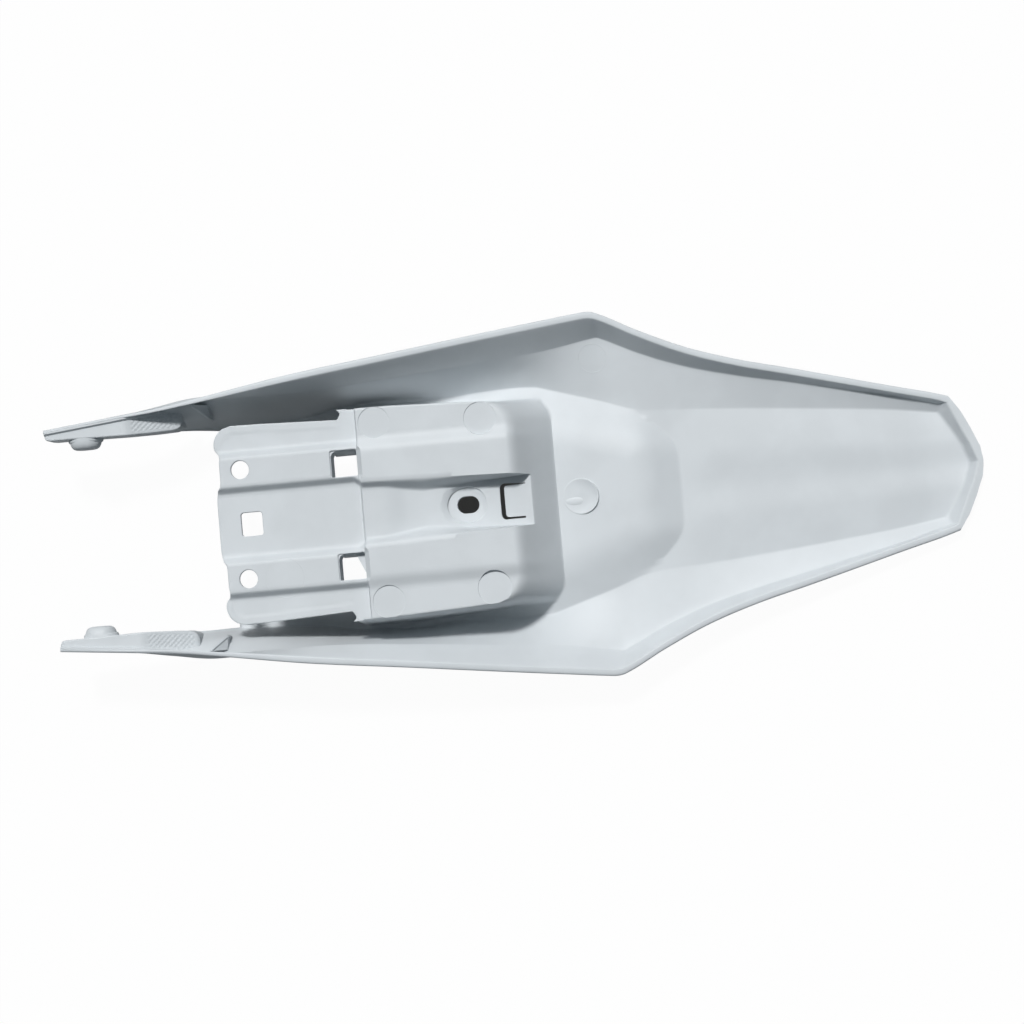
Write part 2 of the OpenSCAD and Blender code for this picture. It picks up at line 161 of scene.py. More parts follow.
# Walls below the square holes at the step, whose plans are X from an edge of the hole and Y from its
# middle: thickness, outer half width, half width on the plain side, and depth with half width on the
# other; then the wall at the front and the web at the rear, each with its lower and upper depth.
RIB, CHEEK_Y, CHEEK_PLAIN_Y, CHEEK_RINGS = 1.8, 11.4, 9.9, ((34.0, 7.9), (1.3, 9.9))
WALL_DEPTHS, WEB_DEPTHS = (18, 1.32), (30, 6)
FRONT_WALL = [(-1.6, -11.3), (0.4, -11.3), (0.4, 6), (1.6, 8.6), (4.2, 9.8), (4.2, 11.3), (-1.6, 11.3)]
WEB = [(0.5, 10.5), (0.5, -6), (-1, -5), (-8, 10.5)]

# Arm bars against X: half width of the inner line less BAR_Y, and of the outer line. Then height of the
# top, where and how far it falls, depth, edge radius, and the dotted grip with its dots.
BAR_Y = 76.0
BAR_INNER = [(-355.4, 3.4), (-354.8, 1.7), (-353.4, 0.6), (-350, 0.1), (-336, 0.1), (-312, -0.5),
             (-292, -0.9), (-272, 0), (-259, 1.0), (-255.4, 2.0), (-253.2, 3.6), (-252, 6.4)]
BAR_OUTER = [(-355.4, 82.6), (-303, 87.8), (-272, 91), (-250, 95.6)]
BAR_TOP_Z, BAR_FALL_X, BAR_END_X, BAR_FALL, BAR_DEPTH, BAR_R = 74.2, -292.0, -252.0, 19.0, 21.0, 1.1
BAR_GRIP, DOT_PITCH, DOT_HEIGHT = (-288.0, -255.0), 3.8, 0.14

# Gussets: foot in plan, turn in degrees, and outline as distance along the turned plane and height. The
# wedge at the foot has its three corners at these lower and upper heights. Horns of the tray: plan.
GUSSET_FOOT, GUSSET_TURN = (-241.0, 94.0), -46
GUSSET = [(0, 55.6), (0, 71.6), (0.5, 72), (2.0, 71.2), (14.6, 51.6), (15, 50.4), (14.8, 36.4), (12, 43)]
WEDGE_Z = ((55.8, 36.4, 55), (73.4, 50, 57.5))
HORN = [(-132.4, 81.2), (-130.6, 79.6), (-129.6, 77.6), (-129.4, 75), (-130.4, 73.6), (-124, 72), (-124, 81)]
HORN_DEPTH, HORN_GAP, BEVEL = 7, 0.04, 0.6

# Round mark on the plateau and the nub in it: centre, half lengths along X and Y, lift of the rear side,
# and for each ring its size, its height over the plateau and its share of the lift.
MARK = ((47, 0), 14, 14, 2.1, ((1, -2, 0), (1, 0, 0), (0.985, 0.1, 0.9), (0.96, 0.15, 1), (0.93, 0.15, 1),
                               (0.87, 0.02, 0.72), (0.5, 0.02, 0.35), (0.01, 0.02, 0.2)))
NUB = ((42.4, -3.4), 7.5, 3.0, 0.0, ((1, -1, 0), (0.98, 0.1, 0), (0.85, 0.22, 0), (0.6, 0.36, 0),
                                     (0.3, 0.44, 0), (0.01, 0.46, 0)))

# Pegs: height of the axis, X and half sizes of the foot, X of the peg, and the profile of each as reach
# inwards from BAR_Y and how much smaller the outline is there.
PEG_Z, FOOT_X, FOOT_HALF, PEG_X = 63.7, -325.6, (13.4, 10), -325.8
FOOT_PROFILE = ((-2, 0), (1.6, 0), (2.4, 0.4), (3, 1.2), (3.2, 2.2))
PEG_PROFILE = ((-2, -3.4), (2, -3.2), (4.4, -2.6), (6.0, -1.8), (7.2, -0.7), (8.0, 0.9), (8.3, 3))


def straight(x, table):
    """Straight runs between the table's points."""
    t = np.array(table, float)
    return np.interp(x, t[:, 0], t[:, 1])


def curve(x, table):
    """Smooth curve through the table's points: a cubic on each span whose end slopes are the limited
    mean of the spans beside it, so that it never swings past a point."""
    t = np.array(table, float)
    px, py = t[:, 0], t[:, 1]
    span = np.diff(px)
    slope = np.diff(py) / span
    m = np.concatenate(([slope[0]], np.zeros(len(px) - 2), [slope[-1]]))
    a, b = slope[:-1], slope[1:]
    same = a * b > 0
    m[1:-1] = np.where(same, 2 * a * b / np.where(same, a + b, 1), 0)
    x = np.clip(x, px[0], px[-1])
    i = np.clip(np.searchsorted(px, x, "right") - 1, 0, len(span) - 1)
    h = span[i]
    u = (x - px[i]) / h
    return ((1 + 2 * u) * (1 - u) ** 2 * py[i] + u * (1 - u) ** 2 * h * m[i]
            + u * u * (3 - 2 * u) * py[i + 1] + u * u * (u - 1) * h * m[i + 1])


def soft(a, b, v):
    """0 below a, 1 above b, with an S-shaped rise between them."""
    t = np.clip((v - a) / (b - a), 0, 1)
    return t * t * (3 - 2 * t)


def mix(a, b, t):
    """a at t = 0, b at t = 1."""
    return a + (b - a) * t


def eased(t, a):
    """Even rise from 0 to 1 whose last share 2a rounds off to level."""
    t = np.clip(t, 0, 1)
    return np.where(t < 1 - 2 * a, t / (1 - a), 1 - (1 - t) ** 2 / (4 * a * (1 - a)))


def soft_least(a, b):
    """The lesser of two shares, with the mitre between them rounded."""
    return np.maximum(0, 1 - ((1 - a) ** 3.2 + (1 - b) ** 3.2) ** (1 / 3.2))


def base_height(x, y):
    """Floor plus plateau plus crown. The plateau rises with round shoulders from its sides and from its
    rear edge, which bends forward along a parabola and then runs straight. The tail floor has two soft
    ridges, (1 - u * u) of its half width, with a shallow valley between them."""
    k = curve(x, FLOOR_Y)
    u = np.minimum(1, y / k)
    past = np.clip(y - BEND_Y, 0, BEND)
    rear_x = PLATEAU_END_X - (past ** 2 / (2 * BEND) + np.maximum(0, y - (BEND_Y + BEND))) * SLANT
    flank = soft_least(eased((k - y) / SHOULDER, 0.3), eased((rear_x - x) / REAR_SHOULDER, 0.32))
    crown = TAIL_CROWN * soft(*CROWN_X, x) * (1 - u * u) * mix(0.45, 1, soft(0, 0.5, u))
    return curve(x, FLOOR_Z) + PLATEAU_RISE * flank * soft(*PLATEAU_X, x) + crown


def flute_drop(x, y):
    """1 in the outer flutes, and 1 in the centre, each falling to 0 on the ridges."""
    pocket, ridge = straight(x, POCKET_Y), straight(x, RIDGE_Y)
    return soft(*FLUTE_Y, y), 1 - soft(0, 1, (y - pocket) / (ridge - pocket))


def rear_top(y):
    """Height of the box's top behind the step, without the pocket."""
    return TRAY_Z - REAR_FLUTE * soft(*REAR_FLUTE_Y, y)


def tray_height(x, y):
    """Height of the tray: fluted in front of the step, with a low rim where an outer flute meets the free
    edge, and behind it with shallower flutes and the pocket, whose floor falls to the rear."""
    outer, inner = flute_drop(x, y)
    ex, ey = x - FRONT_X, straight(x, WALL_TOP_Y) - y
    inside = np.where((ex < CORNER) & (ey < CORNER), CORNER - np.hypot(CORNER - ex, CORNER - ey),
                      np.minimum(ex, ey))
    near_edge = 1 - soft(RIM_WIDTH - 0.5, RIM_WIDTH + 0.5, inside)
    rim = RIM * outer * near_edge * (1 - soft(STEP_X - RIM_FADE[0], STEP_X - RIM_FADE[1], x))
    front = TRAY_Z - STEP_DROP - FLUTE * np.maximum(outer, inner) + rim
    rear = rear_top(y)
    rear = mix(rear, np.minimum(rear, curve(x, POCKET_Z)), inner)
    return mix(front, rear, soft(STEP_X - STEP_RUN, STEP_X + STEP_RUN, x))


def bent_line(x, y, corner):
    """X of a line across the rear wall that lies at x in the middle and bends forward along an arc:
    x - r + square root of (r squared - distance past the arc's centre squared)."""
    radius, centre, reach = corner
    return x - radius + np.sqrt(radius ** 2 - np.clip(y - centre, 0, reach) ** 2)


def middle_height(x, y):
    """Tray box on the floor: its side walls and its sloping rear wall are ramps between the floor and
    the tray, and the pocket is cut through the top of the rear wall."""
    base = base_height(x, y)
    foot, top = straight(x, WALL_FOOT_Y), straight(x, WALL_TOP_Y)
    side = np.clip((foot - y) / (foot - top), 0, 1)
    back_top, back_foot = bent_line(BACK_TOP_X, y, TOP_CORNER), bent_line(BACK_FOOT_X, y, FOOT_CORNER)
    back = eased((back_foot - x) / (back_foot - back_top), 0.14)
    share = np.minimum(side, back)
    tray = tray_height(x, y)
    closed = mix(base, rear_top(y), share)
    pocket = np.minimum(closed, np.maximum(base, tray))
    open_top = mix(base, tray, share)
    in_pocket = (y < straight(x, RIDGE_Y)) & (x > STEP_X)
    return np.where(in_pocket, pocket, np.where(x < BACK_TOP_X, open_top, closed))


# Section lines from the middle (0) to the edge of the lip (14): foot of the box's side wall (9), edge of
# the floor (10), fold across the side panel (11), outer fold (12), inner side of the lip (13).
# SECTION_Y gives fixed half widths, and TAIL_SHARE the shares of the floor's half width that lines 0 to 9
# turn to behind the box.
SECTION_Y = {0: 0, 1: 10, 4: 40, 5: 51, 6: 57, 7: 66}
SECTION_TABLES = {2: POCKET_Y, 3: RIDGE_Y, 8: WALL_TOP_Y, 9: WALL_FOOT_Y}
TAIL_SHARE = [0, 0.12, 0.25, 0.34, 0.46, 0.58, 0.67, 0.76, 0.85, 0.93]
# Points between the lines of the tray, from line 8 to the middle: shares of the first run, then counts.
TOP_STEPS = [0.2, 0.4, 0.52, 0.62, 0.8, 1]
TOP_SAMPLES = [6, 5, 8, 5, 5, 7, 5, 6]
# For each line from 13 to 8: reach of its rounded fold and the fold's faces, and the faces of the straight
# run before it.
FOLDS = {13: (0.9, 3), 12: (1.0, 3), 11: (9.0, 3), 10: (1.1, 3), 9: (1.8, 3), 8: (2.2, 4)}
RUNS = {13: 2, 12: 5, 11: 3, 10: 3, 9: 2, 8: 7}
# Round edge of the lip, from its outermost point: how far in and how far down each point lies, and the
# thickness of the skin there.
LIP_EDGE = [(0, 1.7, 0.9), (0.12, 1.0, 1.3), (0.5, 0.42, 1.9), (1.2, 0.06, 2.4)]


def line_y(x, k):
    """Half width of section line k."""
    if k == 14:
        return curve(x, EDGE_Y)
    if k == 13:
        return curve(x, EDGE_Y) - mix(*LIP_WIDTH, soft(*LIP_X, x))
    if k == 12:
        return curve(x, FOLD_Y)
    if k == 11:
        return mix(curve(x, FLOOR_Y), curve(x, FOLD_Y), mix(*PANEL_FOLD_Y, soft(*ARM_JOIN_X, x)))
    if k == 10:
        return curve(x, FLOOR_Y)
    y = straight(x, SECTION_TABLES[k]) if k in SECTION_TABLES else 0 * x + SECTION_Y[k]
    return mix(y, TAIL_SHARE[k] * curve(x, FLOOR_Y), soft(*TAIL_X, x))


def line_z(x, y, k):
    """Height of section line k, which lies at half width y."""
    lip = curve(x, LIP_Z)
    fold = lip - curve(x, SKIRT_Z)
    if k >= 13:
        return lip
    if k == 12:
        return fold
    if k == 11:
        share = mix(*PANEL_FOLD_Z, soft(*ARM_JOIN_X, x)) + 0.07 * soft(0, 60, x)
        return mix(curve(x, FLOOR_Z), fold, share)
    if k == 10:
        return curve(x, FLOOR_Z)
    if k == 9:
        return np.where(x < EAR_X, curve(x, FLOOR_Z), middle_height(x, y))
    return np.where(x < EAR_X, tray_height(x, y), middle_height(x, y))


def rounded(before, at, after, reach, count):
    """Points on the parabola that rounds the fold at `at`: (1 - t)^2 p + 2 t (1 - t) at + t^2 q, where p
    and q lie on the two straight runs at `reach` from the fold, or at 0.45 of a shorter run."""
    a, b = before - at, after - at
    la = np.linalg.norm(a, axis=-1, keepdims=True)
    lb = np.linalg.norm(b, axis=-1, keepdims=True)
    d = np.minimum(reach, 0.45 * np.minimum(la, lb))
    p, q = at + a / np.maximum(la, 1e-6) * d, at + b / np.maximum(lb, 1e-6) * d
    t = np.linspace(0, 1, count + 1).reshape((-1,) + (1,) * at.ndim)
    return (1 - t) ** 2 * p + 2 * t * (1 - t) * at + t * t * q


def half_section(lines, top):
    """One half of the section at every station, from the lip's round edge to the middle: the folds
    between the straight runs are rounded, and the tray's own points follow. lines[k] holds the points of
    line k, one for each station, and lines["hang"], where given, the points that the fold at line 8
    turns towards in place of line 9."""
    across = lines[13] - lines[14]
    across /= np.linalg.norm(across, axis=-1, keepdims=True)
    out = [(lines[14] + across * inward - [0, 0, down])[None] for inward, down, _ in LIP_EDGE]
    start = out[-1][0]
    for k in range(13, 7, -1):
        after = lines[k - 1] if k > 8 else top[1]
        before = lines["hang"] if k == 8 and "hang" in lines else lines[k + 1]
        fold = rounded(before, lines[k], after, *FOLDS[k])
        t = np.linspace(0, 1, RUNS[k] + 1)[1:-1].reshape(-1, 1, 1)
        out += [mix(start[None], fold[0][None], t), fold]
        start = fold[-1]
    first = mix(start, top[1], 0.5)[None]
    return np.concatenate(out + [first, top[1:]], axis=0)


def front_bow(y):
    """How far the front edge of the tray's free part lies behind its foremost line: the strips with the
    round holes stand back, and the corners are arcs."""
    past = np.clip(y - TONGUE_Y + CORNER, 0, CORNER)
    return straight(y, FRONT_BOW) + CORNER - np.sqrt(np.maximum(0, CORNER ** 2 - past ** 2))


def station_list():
    """Stations along X, closer where the form turns quickly, as start, end and number of each span."""
    spans = [(TIP_X, -262, 18), (-262, FRONT_X, 12), (FRONT_X + 1, FRONT_X + 5.4, 4),
             (FRONT_X + 5.4, FRONT_X + 6.6, 2), (FRONT_X + 6.6, -205, 9), (-205, -145, 12),
             (-145, EAR_X - 1.2, 7), (EAR_X - 1.2, EAR_X, 2), (EAR_X, -120, 4), (-120, -115.4, 11),
             (-115.4, -60, 22), (-60, -15, 16), (-15, 35, 42), (35, 58, 9), (58, 76, 14), (76, 130, 38),
             (130, 190, 14), (190, FLOOR_END_X, 22)]
    runs = [np.linspace(a, b, n, endpoint=False) for a, b, n in spans]
    front_edge = FRONT_X + np.array([0, 0.08, 0.3, 0.6])
    return np.concatenate(runs[:2] + [front_edge] + runs[2:] + [[FLOOR_END_X]])


def stacked(x, y, z):
    """Three arrays as one array of points."""
    return np.stack(np.broadcast_arrays(x, y, z), axis=-1).astype(float)


def top_half_widths(x, line=line_y):
    """Half widths of the tray's points, from the top of its side wall to the middle."""
    edges = [line(x, k) for k in range(8, -1, -1)]
    ys = [edges[0][None]]
    for k, n in enumerate(TOP_SAMPLES):
        t = np.array(TOP_STEPS if k == 0 else np.linspace(0, 1, n + 1)[1:]).reshape(-1, 1)
        ys.append(mix(edges[k][None], edges[k + 1][None], t))
    return np.concatenate(ys)


def body_half(x):
    """Half of the underside for all stations before the tail end. The free part of the tray has its
    front edge rounded down on a quarter circle, and its sides towards points that hang straight below
    line 8."""
    free = x < EAR_X - 1e-6
    lines = {k: stacked(x, line_y(x, k), line_z(x, line_y(x, k), k)) for k in range(8, 15)}
    y = top_half_widths(x)
    past = x - FRONT_X
    drop = EDGE_R - np.sqrt(np.maximum(0, 2 * EDGE_R * past - past ** 2))
    drop = np.where(free & (past >= 0) & (past < EDGE_R), drop, 0)
    at = x + np.where(past >= 0, front_bow(y) * (1 - soft(FRONT_X, -195, x)), 0)
    z = np.where(free, tray_height(at, y), middle_height(at, y)) - drop
    side = stacked(at[0], y[0], z[0])
    lines[8] = np.where(free[:, None], side, lines[8])
    lines["hang"] = np.where(free[:, None], side - [0, 0, HANG], lines[9])
    return half_section(lines, stacked(at, y, z))


def tail_floor(y):
    """Points of the floor's last line at half widths y."""
    x = straight(y, TAIL_FLOOR_X)
    return stacked(x, y, base_height(x, y))


def tail_half():
    """Half of the tail end: the floor's last line, the inner side of the lip and its edge follow their
    own plans, and the two folds between these rows are rounded like the others."""
    floor_x, fold_x = np.array([CORNER_FLOOR_X]), np.array([CORNER_FOLD_X])
    rows = [body_half(np.array([FLOOR_END_X]))[:, 0]]
    for row in range(3):
        lines = {}
        for k in range(8, 15):
            y = line_y(floor_x, k) if k < 11 else np.array([CORNER_Y[k]])
            if row == 0 and k < 11:
                lines[k] = tail_floor(y)
            elif row == 0:
                w = line_y(fold_x, k)
                lines[k] = stacked(fold_x, w, line_z(fold_x, w, k))
            elif row == 1 and k == 14:
                lines[k] = np.array([CORNER_INNER])
            elif row == 1:
                lines[k] = stacked(straight(y, TAIL_LIP_X), y, TAIL_LIP_Z)
            else:
                w = np.array([CORNER_LIP_Y]) if k == 13 else y
                lines[k] = stacked(straight(w, TAIL_EDGE_X), w, TAIL_EDGE_Z)
        y = top_half_widths(floor_x)
        top = (tail_floor(y), stacked(straight(y, TAIL_LIP_X), y, TAIL_LIP_Z),
               stacked(straight(y, TAIL_EDGE_X), y, TAIL_EDGE_Z))[row]
        rows.append(half_section(lines, top)[:, 0])
    r0, r1, r2, r3 = rows
    t = np.linspace(0, 1, 5)[1:-1].reshape(-1, 1, 1)
    first, second = rounded(r0, r1, r2, 2.4, 4), rounded(r1, r2, r3, 1.4, 4)
    return np.concatenate([mix(r0[None], first[0][None], t), first,
                           mix(first[-1][None], second[0][None], t), second,
                           mix(second[-1][None], r3[None], 0.5), r3[None]])


def underside():
    """The whole underside as rows along X by lines across Y, which cells carry skin, and the skin's
    thickness at each point as a share of the full one. Behind the front edge all cells carry skin,
    before it only the arms, and beside the free tray none. The skin thins towards its free edges."""
    x = station_list()
    half = body_half(x).transpose(1, 0, 2)
    tail = tail_half()
    half = np.concatenate([half, tail])
    left = half * [1, -1, 1]
    grid = np.concatenate([left, half[:, -2::-1]], axis=1)
    rows, lines = half.shape[:2]
    foot = len(LIP_EDGE) + sum(RUNS[k] + FOLDS[k][1] for k in range(13, 9, -1)) - 1
    wall = foot + RUNS[9] + FOLDS[9][1] // 2
    top = wall + FOLDS[9][1] - FOLDS[9][1] // 2 + RUNS[8]
    station = np.concatenate([x, np.full(len(tail), FLOOR_END_X)])[:-1, None]
    line = np.arange(lines - 1)[None, :]
    keep = np.where(line < foot, True, station >= FRONT_X - 1e-6)
    keep &= np.where((line >= wall) & (line < top), station >= EAR_X - 1e-6, True)
    keep = np.concatenate([keep, keep[:, ::-1]], axis=1)
    share = np.ones((rows, lines))
    share[:, :len(LIP_EDGE)] = [thick / SKIN for _, _, thick in LIP_EDGE]
    free = np.flatnonzero(x < EAR_X - 1e-6)
    share[free, top:top + FOLDS[8][1]] = np.linspace(*SIDE_THIN, FOLDS[8][1])
    front = np.flatnonzero((x >= FRONT_X) & (x < FRONT_X + EDGE_R))
    thin = np.linspace(*FRONT_THIN, len(front))[:, None]
    share[front, top:] = np.minimum(share[front, top:], thin)
    share[front, top:top + 8] = CORNER_THIN
    return grid, keep, np.concatenate([share, share[:, -2::-1]], axis=1)


def closed_shell(grid, keep, thickness):
    """Vertices and faces of a closed shell: the grid above, the same grid one thickness below along
    the mean normal of the cells round each point, and a band along each free edge. The thickness may
    differ from point to point."""
    rows, cols = grid.shape[:2]
    n = np.cross(grid[1:, 1:] - grid[:-1, :-1], grid[:-1, 1:] - grid[1:, :-1])
    n = -n if n[..., 2].mean() < 0 else n
    n /= np.maximum(np.linalg.norm(n, axis=-1, keepdims=True), 1e-9)
    n = n * keep[..., None]
    mean = np.zeros_like(grid)
    for a in (slice(0, -1), slice(1, None)):
        for b in (slice(0, -1), slice(1, None)):
            mean[a, b] += n
    mean /= np.maximum(np.linalg.norm(mean, axis=-1, keepdims=True), 1e-9)
    below = grid - thickness[:, :, None] * mean
    points = np.concatenate([grid.reshape(-1, 3), below.reshape(-1, 3)])
    count = rows * cols
    i = np.arange(count).reshape(rows, cols)
    a, b, c, d = i[:-1, :-1], i[1:, :-1], i[1:, 1:], i[:-1, 1:]
    quad = np.stack([a, b, c, d], axis=-1)
    faces = [quad[keep], quad[keep][:, ::-1] + count]
    wide = np.pad(keep, 1)
    for p, q, gone in ((a, b, ~wide[1:-1, :-2]), (b, c, ~wide[2:, 1:-1]), (c, d, ~wide[1:-1, 2:]),
                       (d, a, ~wide[:-2, 1:-1])):
        edge = keep & gone
        faces.append(np.stack([q[edge], p[edge], p[edge] + count, q[edge] + count], axis=-1))
    faces = np.concatenate(faces)
    used, index = np.unique(faces, return_inverse=True)
    return points[used], index.reshape(faces.shape)


def mesh_object(name, points, faces, smooth=True):
    """A mesh object at the origin from points in millimetres and faces."""
    mesh = bpy.data.meshes.new(name)
    mesh.from_pydata((np.asarray(points) * MM).tolist(), [], [tuple(int(i) for i in f) for f in faces])
    mesh.update()
    mesh.polygons.foreach_set("use_smooth", np.full(len(mesh.polygons), smooth))
    obj = bpy.data.objects.new(name, mesh)
    bpy.context.scene.collection.objects.link(obj)
    return obj


def round_outline(half_x, half_y, radius, turn=12):
    """Outline of a rectangle with round corners, counter-clockwise."""
    a = np.linspace(0, math.pi / 2, turn)
    out = []
    for i, (sx, sy) in enumerate(((1, 1), (-1, 1), (-1, -1), (1, -1))):
        t = a + i * math.pi / 2
        out.append(np.stack([sx * (half_x - radius) + radius * np.cos(t),
                             sy * (half_y - radius) + radius * np.sin(t)], axis=-1))
    return np.concatenate(out)


def stack_of_rings(rings):
    """Closed solid through rings of equally many points, from the first ring to the last, with flat
    ends. Each ring is counter-clockwise seen from the last one."""
    rings = np.asarray(rings, float)
    m, n = rings.shape[:2]
    i = np.arange(m * n).reshape(m, n)
    j = np.roll(i, -1, axis=1)
    side = np.stack([i[:-1], j[:-1], j[1:], i[1:]], axis=-1).reshape(-1, 4)
    return rings.reshape(-1, 3), [list(i[0][::-1]), list(i[-1])] + side.tolist()


def ring_at(outline, z, centre=(0, 0)):
    """An outline in plan, moved to a centre, as a ring at height z."""
    return np.column_stack([outline + centre, np.full(len(outline), z)])


def both_sides(rings):
    """The solid through the rings, and its mirror image in the plane Y = 0."""
    rings = np.array(rings)
    return [stack_of_rings(rings), stack_of_rings(rings[::-1] * (1, -1, 1))]


def hole_cutter(centre, half_x, half_y, radius, low, surface, flare=0.5):
    """Prism that cuts a hole whose upper edge, at height `surface`, is chamfered by `flare`."""
    rings = []
    for z, grow in ((low, 0), (surface - flare, 0), (surface + ABOVE, flare + ABOVE)):
        rings.append(ring_at(round_outline(half_x + grow, half_y + grow, radius + grow), z, centre))
    return stack_of_rings(rings)


def slot_cutter(surface):
    """Prism that cuts the oblong slot, whose ends are round."""
    return hole_cutter((SLOT_X, 0), *SLOT_HALF, SLOT_HALF[1] - 0.01, SLOT_LOW, surface, 0.4)


def slit_cutter(width):
    """Prism of a U-shaped slit: a ribbon along a path with two rounded corners, narrower along its sides,
    and drawn out to a point at one end."""
    turn = np.linspace(0, math.pi / 2, 7)
    r, x0, y0 = SLIT_R, SLIT_X, SLIT_Y
    path = [(SLIT_ENDS[0], y0), (x0 + 6, y0)]
    path += [(x0 + r - r * math.sin(t), y0 - r + r * math.cos(t)) for t in turn]
    path += [(x0 + r - r * math.cos(t), -y0 + r - r * math.sin(t)) for t in turn]
    p = np.array(path + [(x0 + 6, -y0), (SLIT_ENDS[1], -y0)])
    d = np.gradient(p, axis=0)
    side = np.stack([-d[:, 1], d[:, 0]], axis=-1) / np.linalg.norm(d, axis=1, keepdims=True)
    half = mix(*SLIT_SHARES, soft(x0 + 4, x0, p[:, :1])) * width
    half[0] = 0.3
    outline = np.concatenate([p + side * half, (p - side * half)[::-1]])[::-1]
    return stack_of_rings([ring_at(outline, z) for z in SLIT_Z])


def joined(name, solids):
    """Several separate closed solids as one mesh object."""
    points, faces, start = [], [], 0
    for p, f in solids:
        points.append(p)
        faces += [[i + start for i in face] for face in f]
        start += len(p)
    return mesh_object(name, np.concatenate(points), faces)


def cut_out(obj, cutter):
    """Takes the cutter away from the object and removes it."""
    m = obj.modifiers.new("Cut", "BOOLEAN")
    m.operation, m.solver, m.object = "DIFFERENCE", "MANIFOLD", cutter
    bpy.context.view_layer.update()
    cut = bpy.data.meshes.new_from_object(obj.evaluated_get(bpy.context.evaluated_depsgraph_get()))
    obj.modifiers.clear()
    old, obj.data = obj.data, cut
    bpy.data.meshes.remove(old)
    bpy.data.objects.remove(cutter)


def finish_piece(obj):
    """Gives a piece its sharp edges, over SHARP degrees, its material and body."""
    obj.data.set_sharp_from_angle(angle=math.radians(SHARP))
    obj.data.materials.clear()
    obj.data.materials.append(plastic_material())
    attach(obj, "root")


# Materials


# Faint round marks left by the mould's pins: X, Y, radius, all in metres, and how strongly each shows.
PIN_MARKS = ((-0.1808, -0.0434, 0.0150, 0.35), (0.0648, 0.1056, 0.0110, 0.5))
# Heights of the bump in metres: the grain, a mark's rim, and the disc inside it.
GRAIN_HEIGHT, RIM_HEIGHT, DISC_HEIGHT = 0.000012, 0.00022, -0.00010
# Colour where the plastic is darkest and lightest, as shares of its own, and how much the roughness varies.
COLOUR_SPREAD, ROUGHNESS_SPREAD = (0.972, 1.02), 0.10
PLASTIC_IOR, PLASTIC_SPECULAR = 1.49, 0.4


def socket(group, name, kind, way="INPUT", default=None):
    """Adds a named socket to a shader node group."""
    s = group.interface.new_socket(name, in_out=way, socket_type=kind)
    if default is not None:
        s.default_value = default
    return s


def math_node(tree, operation, a, b=None, c=None):
    """A Math node fed with links or numbers; returns its output."""
    n = tree.nodes.new("ShaderNodeMath")
    n.operation = operation
    for i, v in enumerate((a, b, c)):
        if v is None:
            continue
        if isinstance(v, (int, float)):
            n.inputs[i].default_value = v
        else:
            tree.links.new(v, n.inputs[i])
    return n.outputs[0]


def smooth_step(tree, value, low, high):
    """0 below low, 1 above high, smoothly between; returns its output."""
    n = tree.nodes.new("ShaderNodeMapRange")
    n.interpolation_type = "SMOOTHSTEP"
    tree.links.new(value, n.inputs["Value"])
    n.inputs["From Min"].default_value = low
    n.inputs["From Max"].default_value = high
    return n.outputs["Result"]


def mix_colours(tree, share, first, second):
    """The first colour where the share is 0, the second where it is 1; returns its output."""
    n = tree.nodes.new("ShaderNodeMixRGB")
    tree.links.new(share, n.inputs["Fac"])
    n.inputs["Color1"].default_value = first
    n.inputs["Color2"].default_value = second
    return n.outputs[0]


def mix_shaders(tree, share, first, second):
    """The first shader where the share is 0, the second where it is 1; returns its output."""
    n = tree.nodes.new("ShaderNodeMixShader")
    for i, link in enumerate((share, first, second)):
        tree.links.new(link, n.inputs[i])
    return n.outputs[0]


def plain_shader(tree, kind, **values):
    """A shader node with plain values on its sockets; returns its output."""
    n = tree.nodes.new(kind)
    for name, value in values.items():
        n.inputs[name].default_value = value
    return n.outputs[0]


def ring_mark_group():
    """A round mark in plan, on Object coordinates: Disc is 1 inside the radius, Rim is 1 on it, and Line is
    the width over which each fades."""
    name = "Round Mark"
    if name in bpy.data.node_groups:
        return bpy.data.node_groups[name]
    g = bpy.data.node_groups.new(name, "ShaderNodeTree")
    socket(g, "Vector", "NodeSocketVector")
    for part, default in (("X", 0.0), ("Y", 0.0), ("Radius", 0.01), ("Line", 0.0005)):
        socket(g, part, "NodeSocketFloat", default=default)
    for part in ("Disc", "Rim"):
        socket(g, part, "NodeSocketFloat", way="OUTPUT")
    i, o = g.nodes.new("NodeGroupInput"), g.nodes.new("NodeGroupOutput")
    sep = g.nodes.new("ShaderNodeSeparateXYZ")
    g.links.new(i.outputs["Vector"], sep.inputs[0])
    dx = math_node(g, "SUBTRACT", sep.outputs["X"], i.outputs["X"])
    dy = math_node(g, "SUBTRACT", sep.outputs["Y"], i.outputs["Y"])
    squares = math_node(g, "ADD", math_node(g, "MULTIPLY", dx, dx), math_node(g, "MULTIPLY", dy, dy))
    d = math_node(g, "SQRT", squares)
    away = math_node(g, "DIVIDE", math_node(g, "SUBTRACT", d, i.outputs["Radius"]), i.outputs["Line"])
    g.links.new(smooth_step(g, math_node(g, "MULTIPLY", away, -1.0), -1.0, 1.0), o.inputs["Disc"])
    g.links.new(smooth_step(g, math_node(g, "ABSOLUTE", away), 1.0, 0.0), o.inputs["Rim"])
    return g


